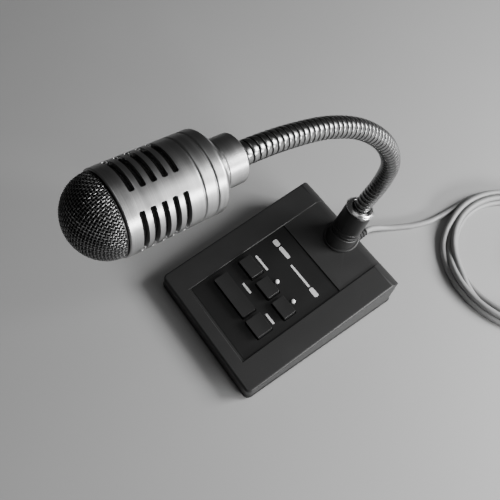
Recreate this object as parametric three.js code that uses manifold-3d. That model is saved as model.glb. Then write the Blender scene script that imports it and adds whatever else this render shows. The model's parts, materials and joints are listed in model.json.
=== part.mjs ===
// A desk gooseneck microphone: a wedge base with five keys, a bendable stem and a slotted metal head.
// Millimetres, +Z up. +X is to the right of a person at the keys, +Y is towards the rear, where the stem
// and the cord are. Sizes and places are given from the middle of the base's front edge, on the surface
// that the base stands on. The whole is then moved, so that the origin is at the middle of its depth,
// with the cord left out.
import * as THREE from 'three';
import { mergeVertices } from 'three/addons/utils/BufferGeometryUtils.js';
import Module from 'manifold-3d';

const wasm = await Module();
wasm.setup();

// Driving dimensions
const baseWidth = 100;
const baseDepth = 128;
const footHeight = 2; // the housing's lower edge stands this high
const frontHeight = 12.5; // height of the cheeks' top plane at the front edge
const deckSlope = THREE.MathUtils.degToRad(8.5);
const wall = 2.2;
const cornerRadius = 4; // upright edges of the housing
const rearRadius = 8; // rounding along the rear top edge
const roof = 4.3; // cheek plane to the ceiling of the hollow
const gap = 0.3; // between pieces that touch
const channelWidth = 62;
const channelDepth = 0.8;
const lipDepth = 9.5; // full-height front lip
const plateFrom = 11; // the control plate's pocket, along the slope
const plateTo = 91;
const pocketDepth = 2.3;
const plateTop = 1.0; // the plate's face lies this far below the cheek plane
const keyTravel = 1.2;
const keyTop = 2.0; // key faces stand this far above the cheek plane
const keyClearance = 0.5;
const boardTop = 10.3; // the circuit board's upper face, below the cheek plane
const originY = 33.93; // the middle of the depth, from the head's tip to the back of the stem
const basePlateTop = 4.4;
const screwX = 34;
const screwY = [18, 110];
const footX = 41;
const footY = [10, 118];
const footRadius = 6;
const stemY = 116.5; // where the stem's axis meets the deck
const stemLean = THREE.MathUtils.degToRad(17); // backwards
const bossRadius = 12.3;
const bossTop = 6; // along the leaning axis, from the deck
const bossFoot = -10; // the seat of the lock nut, inside the housing
const nutTop = 28;
const stemBase = 31.5; // first bending point, along the leaning axis
const linkRadius = 5.7;
const ballRadius = 4.6;
const cupRadius = 5.0;
const linkBore = 1.6;
const linkCount = 7;
const cordRadius = 2.2;
const cordHeight = 2.25; // centre of a cord that lies on the surface
const cordExitZ = 9;
const coilCentre = [82, 236];
const coilInner = 48.5;
const coilOuter = 62.7;
const coilHeight = 8.6;
const innerTurn = 50.7; // middle of the coil's innermost turn
const tailFrom = THREE.MathUtils.degToRad(110); // where the cord leaves that turn for the plug
const tailRadius = 22;
const tailTurn = THREE.MathUtils.degToRad(85);
const plugRadius = 7.5;
const bootLength = 22;

const shellGrey = new THREE.MeshStandardMaterial({ color: 0x33373c, roughness: 0.55, metalness: 0.1 });
const keyGrey = new THREE.MeshStandardMaterial({ color: 0x25282c, roughness: 0.5, metalness: 0 });
const plateBlack = new THREE.MeshStandardMaterial({ color: 0x17191c, roughness: 0.45, metalness: 0.1 });
const rubberBlack = new THREE.MeshStandardMaterial({ color: 0x1c1c1d, roughness: 0.9, metalness: 0 });
const lampWhite = new THREE.MeshStandardMaterial({ color: 0xe8ecef, roughness: 0.3, metalness: 0 });
const boardGreen = new THREE.MeshStandardMaterial({ color: 0x1f5a3a, roughness: 0.6, metalness: 0 });
const switchBlack = new THREE.MeshStandardMaterial({ color: 0x202124, roughness: 0.6, metalness: 0 });
const steel = new THREE.MeshStandardMaterial({ color: 0x8d9196, roughness: 0.4, metalness: 0.9 });
const chrome = new THREE.MeshStandardMaterial({ color: 0xd5d8dc, roughness: 0.12, metalness: 1 });
const blackChrome = new THREE.MeshStandardMaterial({ color: 0x3a3d41, roughness: 0.25, metalness: 0.9 });
const darkNut = new THREE.MeshStandardMaterial({ color: 0x26282b, roughness: 0.45, metalness: 0.3 });
const headSilver = new THREE.MeshStandardMaterial({ color: 0xa2a6ab, roughness: 0.35, metalness: 0.9 });
const meshDark = new THREE.MeshStandardMaterial({ color: 0x3c3f43, roughness: 0.5, metalness: 0.7 });
const foamBlack = new THREE.MeshStandardMaterial({ color: 0x151515, roughness: 1, metalness: 0 });
const cordGrey = new THREE.MeshStandardMaterial({ color: 0xb9bcbf, roughness: 0.6, metalness: 0 });

const part = new THREE.Group();
part.position.y = -originY;

// One closed indexed mesh with its faces outwards, from any three.js geometry
function closed(geometry) {
  geometry.deleteAttribute('normal');
  geometry.deleteAttribute('uv');
  const merged = mergeVertices(geometry, 1e-4);
  const place = merged.getAttribute('position');
  const corners = Array.from(merged.index.array);
  const kept = [];
  let volume = 0;
  for (let i = 0; i < corners.length; i += 3) {
    const [a, b, c] = corners.slice(i, i + 3);
    if (a === b || b === c || a === c) continue;
    kept.push(a, b, c);
    const [p, q, r] = [a, b, c].map((k) => new THREE.Vector3().fromBufferAttribute(place, k));
    volume += p.dot(q.cross(r));
  }
  if (volume < 0) kept.reverse();
  merged.setIndex(kept);
  return merged;
}

function toSolid(geometry) {
  const tidy = closed(geometry);
  const vertProperties = new Float32Array(tidy.getAttribute('position').array);
  const triVerts = new Uint32Array(tidy.index.array);
  return new wasm.Manifold(new wasm.Mesh({ numProp: 3, vertProperties, triVerts }));
}

function toGeometry(solid) {
  const mesh = solid.getMesh();
  const geometry = new THREE.BufferGeometry();
  geometry.setAttribute('position', new THREE.BufferAttribute(new Float32Array(mesh.vertProperties), 3));
  geometry.setIndex(new THREE.BufferAttribute(new Uint32Array(mesh.triVerts), 1));
  return geometry;
}

function add(name, geometry, material, parent = part) {
  const mesh = new THREE.Mesh(closed(geometry), material);
  mesh.name = name;
  parent.add(mesh);
  return mesh;
}

// A profile of [radius, height] pairs turned about Z
function turned(profile, segments = 24) {
  const points = profile.map(([r, z]) => new THREE.Vector2(r, z));
  return new THREE.LatheGeometry(points, segments).rotateX(Math.PI / 2);
}

function disc(radius, from, to, segments = 24) {
  return turned([[0, from], [radius, from], [radius, to], [0, to]], segments);
}

function box(x, y, z, lengthX, lengthY, lengthZ) {
  return new THREE.BoxGeometry(lengthX, lengthY, lengthZ).translate(x, y, z);
}

// A side outline of [y, z] points stretched from x = -half to x = half
function prism(outline, half) {
  const settings = { depth: 2 * half, bevelEnabled: false, curveSegments: 6 };
  const geometry = new THREE.ExtrudeGeometry(outline, settings);
  const sideways = new THREE.Matrix4().makeBasis(
    new THREE.Vector3(0, 1, 0),
    new THREE.Vector3(0, 0, 1),
    new THREE.Vector3(1, 0, 0),
  );
  return geometry.applyMatrix4(sideways).translate(-half, 0, 0);
}

// A rectangle with round corners, centred at x, y
function rounded(x, y, lengthX, lengthY, radius) {
  const shape = new THREE.Shape();
  const [hx, hy] = [lengthX / 2 - radius, lengthY / 2 - radius];
  shape.absarc(x + hx, y + hy, radius, 0, Math.PI / 2);
  shape.absarc(x - hx, y + hy, radius, Math.PI / 2, Math.PI);
  shape.absarc(x - hx, y - hy, radius, Math.PI, 1.5 * Math.PI);
  shape.absarc(x + hx, y - hy, radius, 1.5 * Math.PI, 2 * Math.PI);
  return shape;
}

function slab(shape, from, to, curveSegments = 4) {
  const settings = { depth: to - from, bevelEnabled: false, curveSegments };
  return new THREE.ExtrudeGeometry(shape, settings).translate(0, 0, from);
}

const deckHeight = (y) => frontHeight + y * Math.tan(deckSlope);

// The deck's own frame: x across, y up the slope, z out of the cheek plane
const deck = new THREE.Group();
deck.position.set(0, 0, frontHeight);
deck.rotation.x = deckSlope;
deck.updateMatrix();
part.add(deck);

// The stem's own frame: z along its leaning axis, from the deck
const stem = new THREE.Group();
stem.position.set(0, stemY, deckHeight(stemY));
stem.rotation.x = -stemLean;
stem.updateMatrix();
part.add(stem);

// Keys: name, x, distance up the slope, width and length
const keys = [
  ['zone_key_1', -19, 53, 15.5, 9.5],
  ['zone_key_2', 0, 53, 14, 9.5],
  ['zone_key_3', 17.8, 53, 14, 9.5],
  ['talk_bar', -9, 32.3, 33, 10.5],
  ['chime_key', 17.8, 32.3, 14, 11.5],
];
const lamps = [['lamp_left', 0], ['lamp_right', 17.8]];
const lampUp = 61.2;
const lampRadius = 1.5;

// Side outline of the housing, sunk by a depth below the cheek plane and shrunk by a wall
function sideOutline(sink, inset, radius, bottom) {
  const drop = sink / Math.cos(deckSlope);
  const top = (y) => deckHeight(y) - drop;
  const rear = baseDepth - inset;
  const shape = new THREE.Shape();
  shape.moveTo(inset, bottom);
  shape.lineTo(rear, bottom);
  const bend = Math.PI / 2 + deckSlope;
  const reach = radius * Math.tan((Math.PI - bend) / 2);
  const lift = radius / Math.cos(deckSlope);
  const centreY = rear - radius;
  const centreZ = top(centreY) - lift;
  if (reach > 0) shape.absarc(centreY, centreZ, radius, 0, bend);
  const frontRadius = inset > 0 ? 0.5 : 2;
  const frontZ = top(frontRadius + inset) - frontRadius / Math.cos(deckSlope);
  shape.absarc(frontRadius + inset, frontZ, frontRadius, bend, Math.PI);
  return shape;
}

function housing() {
  const half = baseWidth / 2;
  const plan = slab(rounded(0, baseDepth / 2, baseWidth, baseDepth, cornerRadius), 0, 80);
  const high = toSolid(prism(sideOutline(0, 0, rearRadius, footHeight), half));
  const low = toSolid(prism(sideOutline(channelDepth, 0, rearRadius - 0.6, footHeight), half));
  const band = toSolid(box(0, lipDepth + 75, 30, channelWidth, 150, 120));
  const outer = high.intersect(toSolid(plan)).subtract(band.subtract(low));
  const hollowPlan = rounded(0, baseDepth / 2, baseWidth - 2 * wall, baseDepth - 2 * wall, 2);
  const hollow = toSolid(prism(sideOutline(roof, wall, rearRadius - wall, 0), half - wall));
  let shell = outer.subtract(hollow.intersect(toSolid(slab(hollowPlan, -1, 80, 3))));
  shell = shell.add(stemBoss());
  for (const post of posts()) shell = shell.add(post);
  for (const cut of housingCuts()) shell = shell.subtract(cut);
  add('upper_shell', toGeometry(shell), shellGrey);
}

// The round boss that the stem's nut stands on, trimmed where it would reach outside the rear wall
function stemBoss() {
  const profile = [
    [0, bossFoot], [bossRadius, bossFoot], [bossRadius, 1], [bossRadius - 1.3, bossTop], [0, bossTop],
  ];
  const boss = toSolid(turned(profile, 28).applyMatrix4(stem.matrix));
  const keep = toSolid(box(0, baseDepth - 40, 30, 60, 80, 60));
  return boss.intersect(keep);
}

// Screw posts and board posts that hang from the ceiling of the hollow
function posts() {
  const made = [];
  for (const x of [-screwX, screwX]) {
    for (const y of screwY) {
      const top = deckHeight(y) - roof + 1.5;
      made.push(toSolid(disc(3.6, basePlateTop + gap, top, 16).translate(x, y, 0)));
    }
    for (const up of [31, 58]) {
      const hanger = disc(2.4, gap - boardTop, 1 - roof, 12).translate(Math.sign(x) * 31.2, up, 0);
      made.push(toSolid(hanger.applyMatrix4(deck.matrix)));
    }
  }
  return made;
}

function housingCuts() {
  const onDeck = (geometry) => toSolid(geometry.applyMatrix4(deck.matrix));
  const middle = (plateFrom + plateTo) / 2;
  const cuts = [onDeck(box(0, middle, 5 - pocketDepth, channelWidth, plateTo - plateFrom, 10))];
  for (const [, x, up, width, length] of keys) {
    cuts.push(onDeck(box(x, up, 0, width + 2 * keyClearance, length + 2 * keyClearance, 20)));
  }
  for (const [, x] of lamps) cuts.push(onDeck(disc(lampRadius + 0.4, -20, 5, 12).translate(x, lampUp, 0)));
  cuts.push(toSolid(disc(6.4, -20, 20, 24).applyMatrix4(stem.matrix)));
  const cordHole = disc(4.1, -6, 6, 16).rotateX(Math.PI / 2).translate(0, baseDepth, cordExitZ);
  cuts.push(toSolid(cordHole));
  for (const x of [-screwX, screwX]) {
    for (const y of screwY) cuts.push(toSolid(disc(1.8, 0, 9.6, 12).translate(x, y, 0)));
  }
  return cuts;
}

function controlPlate() {
  const middle = (plateFrom + plateTo) / 2;
  const size = [channelWidth - 2 * gap, plateTo - plateFrom - 2 * gap];
  let plate = toSolid(slab(rounded(0, middle, ...size, 0.6), gap - pocketDepth, -plateTop, 2));
  for (const [, x, up, width, length] of keys) {
    plate = plate.subtract(toSolid(box(x, up, 0, width + 2 * keyClearance, length + 2 * keyClearance, 20)));
  }
  for (const [, x] of lamps) {
    plate = plate.subtract(toSolid(disc(lampRadius + 0.4, -20, 5, 12).translate(x, lampUp, 0)));
  }
  add('control_plate', toGeometry(plate), plateBlack, deck);
}

// A key cap with a retaining flange under the ceiling and a post that works its switch
function key(name, x, up, width, length) {
  const flange = 0.9;
  const under = -roof - gap;
  const cap = toSolid(slab(rounded(0, 0, width, length, 0.8), under - 0.5, keyTop - 0.6, 2));
  const crown = toSolid(slab(rounded(0, 0, width - 1, length - 1, 0.6), keyTop - 0.7, keyTop, 2));
  const lip = toSolid(box(0, 0, under - 0.7, width + 2 * flange, length + 2 * flange, 1.4));
  const post = toSolid(disc(1.5, keyTravel + 0.9 - boardTop, under - 1, 12));
  const piece = add(name, toGeometry(cap.add(crown).add(lip).add(post)), keyGrey, deck);
  piece.position.set(x, up, 0);
}

function keySwitch(name, x, up) {
  const body = toSolid(box(0, 0, -boardTop + gap + 1.25, 7, 7, 2.5));
  const bore = toSolid(disc(1.9, 0.6 - boardTop, 0, 12));
  const piece = add(name, toGeometry(body.subtract(bore)), switchBlack, deck);
  piece.position.set(x, up, 0);
}

function controls() {
  controlPlate();
  keys.forEach(([name, x, up, width, length], i) => {
    key(name, x, up, width, length);
    keySwitch(`key_switch_${i + 1}`, x, up);
  });
  for (const [name, x] of lamps) {
    const low = gap - boardTop;
    const stalk = [[0, low], [lampRadius, low], [lampRadius, -0.6], [1.1, -0.1], [0, 0.1]];
    add(name, turned(stalk, 12), lampWhite, deck).position.set(x, lampUp, 0);
  }
  add('circuit_board', box(0, 45, -boardTop - 0.6, 68, 37, 1.2), boardGreen, deck);
}

function underside() {
  const inset = wall + gap;
  const outline = rounded(0, baseDepth / 2, baseWidth - 2 * inset, baseDepth - 2 * inset, 1.8);
  let plate = toSolid(slab(outline, footHeight, basePlateTop, 3));
  let count = 0;
  for (const x of [-screwX, screwX]) {
    for (const y of screwY) {
      const through = turned([[0, 0], [3.4, 0], [3.4, 3.8], [1.8, 3.8], [1.8, 6], [0, 6]], 16);
      plate = plate.subtract(toSolid(through.translate(x, y, 0)));
      count += 1;
      const screw = turned([[0, 2.3], [3, 2.3], [3, 3.5], [1.4, 3.5], [1.4, 8.8], [0, 9.2]], 16);
      add(`base_screw_${count}`, screw.translate(x, y, 0), steel);
    }
  }
  add('base_plate', toGeometry(plate), shellGrey);
  add('ballast_plate', slab(rounded(0, 87, 66, 30, 2), basePlateTop + gap, 12, 2), steel);
  count = 0;
  for (const x of [-footX, footX]) {
    for (const y of footY) {
      count += 1;
      const top = footHeight - gap;
      const foot = [[0, 0], [footRadius - 0.5, 0], [footRadius, 0.5], [footRadius, top], [0, top]];
      add(`foot_${count}`, turned(foot, 16).translate(x, y, 0), rubberBlack);
    }
  }
}

// Fixed pieces at the foot of the stem, turned about the leaning axis
function stemFoot() {
  const seat = bossFoot - gap;
  const socket = [[3.5, -18], [6, -18], [6, 7.6], [3.5, 7.6], [3.5, -18]];
  add('neck_socket', turned(socket, 16), steel, stem);
  const washer = [[6.3, seat - 1], [9.5, seat - 1], [9.5, seat], [6.3, seat], [6.3, seat - 1]];
  add('lock_washer', turned(washer, 20), steel, stem);
  const low = seat - 1 - gap;
  const hexNut = toSolid(disc(8.6, low - 4, low, 6)).subtract(toSolid(disc(6.3, low - 6, low + 2, 20)));
  add('lock_nut', toGeometry(hexNut), steel, stem);
  const nut = [
    [6.6, bossTop + gap], [10.4, bossTop + gap], [10.4, bossTop + 2], [10, bossTop + 2.5],
    [9.8, nutTop - 0.8], [9.2, nutTop], [6.6, nutTop], [6.6, bossTop + gap],
  ];
  add('neck_nut', turned(nut, 24), darkNut, stem);
  const sleeve = cupEnd(stemBase, 6.1).concat([[linkBore, 8], [6.1, 8]]);
  add('neck_sleeve', turned(sleeve.concat([sleeve[0]]), 16), steel, stem);
  const ring = [
    [6.5, nutTop + gap], [9.3, nutTop + gap], [10.2, nutTop + 0.9],
    [10.2, nutTop + 2], [9.3, nutTop + 2.9], [6.5, nutTop + 2.9], [6.5, nutTop + gap],
  ];
  add('nut_ring', turned(ring, 24), chrome, stem);
}

// Profile of a cup that holds a ball centred at the height given, from its rim's outside to its bore
function cupEnd(centre, outside) {
  const rim = 1.2;
  const points = [[outside, centre - rim]];
  const from = Math.asin(rim / cupRadius);
  const to = Math.acos(linkBore / cupRadius);
  const steps = 3;
  for (let i = 0; i <= steps; i += 1) {
    const angle = from + (to - from) * i / steps;
    points.push([cupRadius * Math.cos(angle), centre - cupRadius * Math.sin(angle)]);
  }
  return points;
}

// Profile of a ball centred at zero with a cone up to the outside radius, from its bore outwards
function ballEnd(outside, shoulder) {
  const points = [];
  const from = -Math.acos(linkBore / ballRadius);
  const to = Math.asin(1 / ballRadius);
  const steps = 4;
  for (let i = 0; i <= steps; i += 1) {
    const angle = from + (to - from) * i / steps;
    points.push([ballRadius * Math.cos(angle), ballRadius * Math.sin(angle)]);
  }
  points.push([outside, shoulder]);
  return points;
}

function stemPoint(height) {
  return new THREE.Vector3(0, 0, height).applyMatrix4(stem.matrix);
}

// The stem's centre line in its rest shape: up and back, then forward over the keys
function stemLine() {
  const shaped = [
    [1.4, 129.7, 76.8], [4.1, 129.8, 94.9], [5.4, 125.2, 114.4], [3.9, 115.8, 133.4],
    [0.7, 101.8, 150.1], [-2.4, 83.8, 163.3], [-3.8, 63.2, 173.6], [-3.5, 41.5, 181.7], [-2.3, 19.4, 188.7],
  ];
  return new THREE.CatmullRomCurve3([stemPoint(stemBase), ...shaped.map((p) => new THREE.Vector3(...p))]);
}

function links() {
  const bends = stemLine().getSpacedPoints(linkCount);
  const up = new THREE.Vector3(0, 0, 1);
  for (let i = 0; i < linkCount; i += 1) {
    const along = bends[i + 1].clone().sub(bends[i]);
    const link = new THREE.Group();
    link.position.copy(bends[i]);
    link.quaternion.setFromUnitVectors(up, along.clone().normalize());
    part.add(link);
    const profile = ballEnd(linkRadius, 3.4).concat(cupEnd(along.length(), linkRadius));
    add(`neck_link_${i + 1}`, turned(profile.concat([profile[0]]), 14), blackChrome, link);
  }
  return bends[linkCount];
}

// Head, along its own axis from the last bending point
const headBodyFrom = 23.3;
const headBodyTo = 71.3;
const headRadius = 18.5;
const headShoulder = 2.7; // the cone at the rear end, along the axis
const headGrooves = [31.1, 37.2];
const collarFrom = 9.4;
const collarRadius = 11.3;
const liningRadius = 15.9;
const domeRise = 16.4;
const headSides = 36;
const slotRows = 5;
const slotPitch = 4.77;
const firstSlot = 45.3;
const slotWidth = 2.5;
const slotGroups = 4;
const slotArc = THREE.MathUtils.degToRad(65.5);
const slotTurn = THREE.MathUtils.degToRad(33); // the plain band between two groups, clockwise from the top

function headShell() {
  const [from, to] = [headBodyFrom, headBodyTo];
  const outside = [[6.6, from], [15.4, from], [headRadius, from + headShoulder]];
  for (const groove of headGrooves) {
    outside.push([headRadius, groove - 0.5], [headRadius - 0.4, groove - 0.3]);
    outside.push([headRadius - 0.4, groove + 0.3], [headRadius, groove + 0.5]);
  }
  outside.push([headRadius, to - 0.6], [headRadius - 0.3, to]);
  const inside = [[liningRadius + 0.3, to], [liningRadius + 0.3, from + 5], [6.6, from + 3], [6.6, from]];
  const body = toSolid(turned(outside.concat(inside), headSides));
  let rings = null;
  for (let row = 0; row < slotRows; row += 1) {
    const middle = firstSlot + row * slotPitch;
    const [a, b] = [middle - slotWidth / 2, middle + slotWidth / 2];
    const [deep, clear] = [headRadius - 4, headRadius + 2];
    const ring = toSolid(turned([[deep, a], [clear, a], [clear, b], [deep, b], [deep, a]], headSides));
    rings = rings ? rings.add(ring) : ring;
  }
  let sectors = null;
  for (let group = 0; group < slotGroups; group += 1) {
    const middle = Math.PI / 2 - slotTurn + Math.PI / slotGroups + group * 2 * Math.PI / slotGroups;
    const wedge = new THREE.Shape([new THREE.Vector2(0, 0)]);
    for (const turn of [-1, -0.5, 0, 0.5, 1]) {
      const angle = middle + turn * slotArc / 2;
      wedge.lineTo(24 * Math.cos(angle), 24 * Math.sin(angle));
    }
    const sector = toSolid(slab(wedge, from, to));
    sectors = sectors ? sectors.add(sector) : sector;
  }
  return toGeometry(body.subtract(rings.intersect(sectors)));
}

// A quarter of an ellipse from the rim to the axis
function domeArc(radius, from, rise) {
  const points = [];
  const steps = 6;
  for (let i = 0; i <= steps; i += 1) {
    const angle = i / steps * Math.PI / 2;
    points.push([radius * Math.cos(angle), from + rise * Math.sin(angle)]);
  }
  return points;
}

function domeProfile(radius, thickness, from, rise) {
  const outside = domeArc(radius, from, rise);
  const inside = domeArc(radius - thickness, from, rise - thickness);
  return outside.concat(inside.reverse(), [outside[0]]);
}

function head(at) {
  const axis = new THREE.Vector3(0.01, -0.991, 0.133).normalize();
  const group = new THREE.Group();
  group.position.copy(at);
  // x stays level, so that angles about the head's axis start at its right side
  const across = new THREE.Vector3(1, 0, 0);
  across.addScaledVector(axis, -across.dot(axis)).normalize();
  const upward = axis.clone().cross(across);
  group.quaternion.setFromRotationMatrix(new THREE.Matrix4().makeBasis(across, upward, axis));
  part.add(group);

  const ferrule = ballEnd(5.7, 3.4).concat([[6.3, 4], [6.3, 25.2], [linkBore, 25.2]]);
  add('neck_ferrule', turned(ferrule.concat([ferrule[0]]), 16), chrome, group);
  const collarTo = headBodyFrom - gap;
  const collar = [
    [6.6, collarFrom], [collarRadius - 0.7, collarFrom], [collarRadius, collarFrom + 0.7],
    [collarRadius, collarTo], [6.6, collarTo], [6.6, collarFrom],
  ];
  add('head_collar', turned(collar, 24), headSilver, group);
  add('head_body', headShell(), headSilver, group);
  const [linerFrom, linerTo] = [headBodyFrom + 6, headBodyTo - 1.5];
  const liner = [
    [liningRadius - 0.5, linerFrom], [liningRadius, linerFrom], [liningRadius, linerTo],
    [liningRadius - 0.5, linerTo], [liningRadius - 0.5, linerFrom],
  ];
  add('slot_liner', turned(liner, 24), foamBlack, group);
  const mount = [
    [6, 58.5], [15, 58.5], [15, 61.5], [10.4, 61.5], [10.4, 68.5], [9.9, 68.5], [9.9, 60.5], [6, 60.5], [6, 58.5],
  ];
  add('capsule_mount', turned(mount, 20), rubberBlack, group);
  const capsule = [[0, 60.8], [9.6, 60.8], [9.6, 69.1], [8.6, 69.9], [0, 69.9]];
  add('capsule', turned(capsule, 20), steel, group);
  add('mesh_dome', turned(domeProfile(17.7, 0.9, headBodyTo + gap, domeRise), 24), meshDark, group);
  const foam = [[0, headBodyTo + gap]].concat(domeArc(16.5, headBodyTo + gap, domeRise - 1.2));
  add('wind_foam', turned(foam, 16), foamBlack, group);
}

// The cord's centre line, out of its relief, down to the surface and along it to the coil
const cordRoute = [
  [0, 146.5, cordExitZ], [0.1, 149.5, 8.8], [0.6, 153.5, 7.4], [1.7, 158.5, 5.2], [3.5, 163.5, 3.4],
  [6, 168.7, 2.5], [11, 178.5, cordHeight], [14.6, 186, cordHeight], [17.3, 193.5, cordHeight], [19.3, 201.5, cordHeight],
  [20.6, 209, cordHeight],
];

function cord() {
  const relief = [
    [0, 124], [3.8, 124], [3.8, 128.3], [5.2, 128.3], [5.2, 130.3],
    [4, 131], [3.6, 138], [2.9, 146], [0, 146],
  ];
  const turnedBack = turned(relief.map(([r, y]) => [r, -y]).reverse(), 16).rotateX(Math.PI / 2);
  add('cord_relief', turnedBack.translate(0, 0, cordExitZ), rubberBlack);
  const line = new THREE.CatmullRomCurve3(cordRoute.map((p) => new THREE.Vector3(...p)));
  const section = new THREE.Shape().absarc(0, 0, cordRadius, 0, 2 * Math.PI);
  const settings = { extrudePath: line, steps: 12, bevelEnabled: false, curveSegments: 5 };
  add('cord_lead', new THREE.ExtrudeGeometry(section, settings), cordGrey);
  const ring = [
    [coilInner, 1.6], [coilInner + 1.6, 0.05], [coilOuter - 1.6, 0.05], [coilOuter, 1.6],
    [coilOuter, 5.6], [coilOuter - 3, coilHeight], [coilInner + 3, coilHeight],
    [coilInner, 5.6], [coilInner, 1.6],
  ];
  add('cord_coil', turned(ring, 36).translate(...coilCentre, 0), cordGrey);
  const tail = [];
  const tailSteps = 5;
  for (let i = 0; i <= tailSteps; i += 1) tail.push(tailPoint(0.61 + 0.38 * i / tailSteps));
  const tailSettings = { ...settings, extrudePath: new THREE.CatmullRomCurve3(tail), steps: 4 };
  add('cord_tail', new THREE.ExtrudeGeometry(section, tailSettings), cordGrey);
}

// The cord turns in from the coil's innermost turn and rises to the plug's axis; share runs from 0 to 1
function tailPoint(share) {
  const centre = innerTurn - tailRadius;
  const angle = tailFrom - share * tailTurn;
  const rise = THREE.MathUtils.smoothstep(share, 0.2, 1) * (plugRadius - cordHeight + 0.05);
  return new THREE.Vector3(
    coilCentre[0] + centre * Math.cos(tailFrom) + tailRadius * Math.cos(angle),
    coilCentre[1] + centre * Math.sin(tailFrom) + tailRadius * Math.sin(angle),
    cordHeight + rise,
  );
}

// The round plug on the cord's end, lying inside the coil
function plug() {
  const heading = tailFrom - tailTurn - Math.PI / 2;
  const forward = new THREE.Vector3(Math.cos(heading), Math.sin(heading), 0);
  const group = new THREE.Group();
  group.position.copy(tailPoint(1)).addScaledVector(forward, bootLength);
  group.quaternion.setFromUnitVectors(new THREE.Vector3(0, 0, 1), forward);
  part.add(group);
  const boot = [[0, -bootLength], [2.9, -bootLength], [3.4, -18], [4.6, -6], [4.6, 0], [0, 0]];
  add('plug_boot', turned(boot, 16), rubberBlack, group);
  const shell = [
    [6, gap], [6.8, gap], [plugRadius, 1.5], [plugRadius, 17], [7.1, 17.5], [7.1, 24], [6, 24], [6, gap],
  ];
  add('plug_shell', turned(shell, 20), steel, group);
  const insert = [[0, gap], [5.7, gap], [5.7, 21], [0, 21]];
  add('plug_insert', turned(insert, 16), switchBlack, group);
}

housing();
underside();
controls();
stemFoot();
head(links());
cord();
plug();

export default part;
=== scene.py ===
import bpy
import bmesh
import json
import math
from mathutils import Matrix, Vector


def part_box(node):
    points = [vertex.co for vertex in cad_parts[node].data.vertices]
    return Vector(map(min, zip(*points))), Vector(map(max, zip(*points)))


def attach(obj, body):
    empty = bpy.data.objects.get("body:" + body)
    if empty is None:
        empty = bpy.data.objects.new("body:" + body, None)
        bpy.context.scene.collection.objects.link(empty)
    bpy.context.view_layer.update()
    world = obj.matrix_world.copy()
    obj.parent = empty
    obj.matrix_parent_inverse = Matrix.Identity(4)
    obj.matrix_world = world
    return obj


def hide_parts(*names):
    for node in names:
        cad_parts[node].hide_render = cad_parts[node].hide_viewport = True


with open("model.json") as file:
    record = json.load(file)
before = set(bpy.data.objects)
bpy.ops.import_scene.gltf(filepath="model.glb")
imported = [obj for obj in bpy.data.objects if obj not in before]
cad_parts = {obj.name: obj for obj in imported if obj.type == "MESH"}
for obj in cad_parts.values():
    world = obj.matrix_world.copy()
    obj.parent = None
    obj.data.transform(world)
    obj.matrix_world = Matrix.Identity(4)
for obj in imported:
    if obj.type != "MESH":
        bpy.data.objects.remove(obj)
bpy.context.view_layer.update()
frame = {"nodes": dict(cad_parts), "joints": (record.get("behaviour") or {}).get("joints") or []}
mm = 0.001
joints = {joint["name"]: joint for joint in frame["joints"]}
print("frame loaded")


def frameOf(origin, across, along):
    # A matrix with x along `across`, z along `along`
    along = Vector(along).normalized()
    across = Vector(across)
    across = (across - along * across.dot(along)).normalized()
    turn = Matrix((across, along.cross(across), along)).transposed()
    return Matrix.Translation(origin) @ turn.to_4x4()


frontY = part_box("upper_shell")[0].y
baseSettings = {
    "frontHeight": 12.5 * mm, "footHeight": 2 * mm, "width": 100 * mm, "depth": 128 * mm,
    "cornerRadius": 4 * mm, "rearRadius": 8 * mm, "frontRadius": 2 * mm, "wall": 2.2 * mm, "roof": 4.3 * mm,
    "channelWidth": 62 * mm, "channelDepth": 0.8 * mm, "lipDepth": 9.5 * mm,
    "plateFrom": 11 * mm, "plateTo": 91 * mm, "pocketDepth": 2.3 * mm, "plateTop": 1.5 * mm,
    "bossRadius": 10.9 * mm, "bossFoot": 12.6 * mm, "bossTop": 6 * mm, "cordExitZ": 9 * mm,
    "rimHeight": 1.6 * mm, "rimOut": 0.45 * mm, "edge": 1.5 * mm, "stepEdge": 0.7 * mm,
}
deckNormal = -Vector(joints["talk_bar_press"]["axis"])
deckSlope = math.atan2(-deckNormal.y, deckNormal.z)
deckFrame = frameOf((0, frontY, baseSettings["frontHeight"]), (1, 0, 0), deckNormal)
stemFrame = frameOf(joints["neck_swivel"]["pos_m"], (1, 0, 0), joints["neck_swivel"]["axis"])
headAxis = Vector((0.01, -0.991, 0.133)).normalized()
headFrame = frameOf(joints["neck_bend_8"]["pos_m"], (1, 0, 0), headAxis)


cameraSettings = {"place": (0.12271, -0.13392, 0.40269), "turnDeg": (30.265, -5.022, 53.799), "lens": 45.6,
                  "shiftX": 0.015, "shiftY": -0.016}


def makeCamera():
    data = bpy.data.cameras.new("camera")
    data.sensor_width = 36
    data.lens = cameraSettings["lens"]
    data.shift_x = cameraSettings["shiftX"]
    data.shift_y = cameraSettings["shiftY"]
    data.clip_start = 0.01
    camera = bpy.data.objects.new("camera", data)
    camera.location = cameraSettings["place"]
    camera.rotation_euler = [math.radians(angle) for angle in cameraSettings["turnDeg"]]
    bpy.context.scene.collection.objects.link(camera)
    bpy.context.scene.camera = camera


makeCamera()


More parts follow.
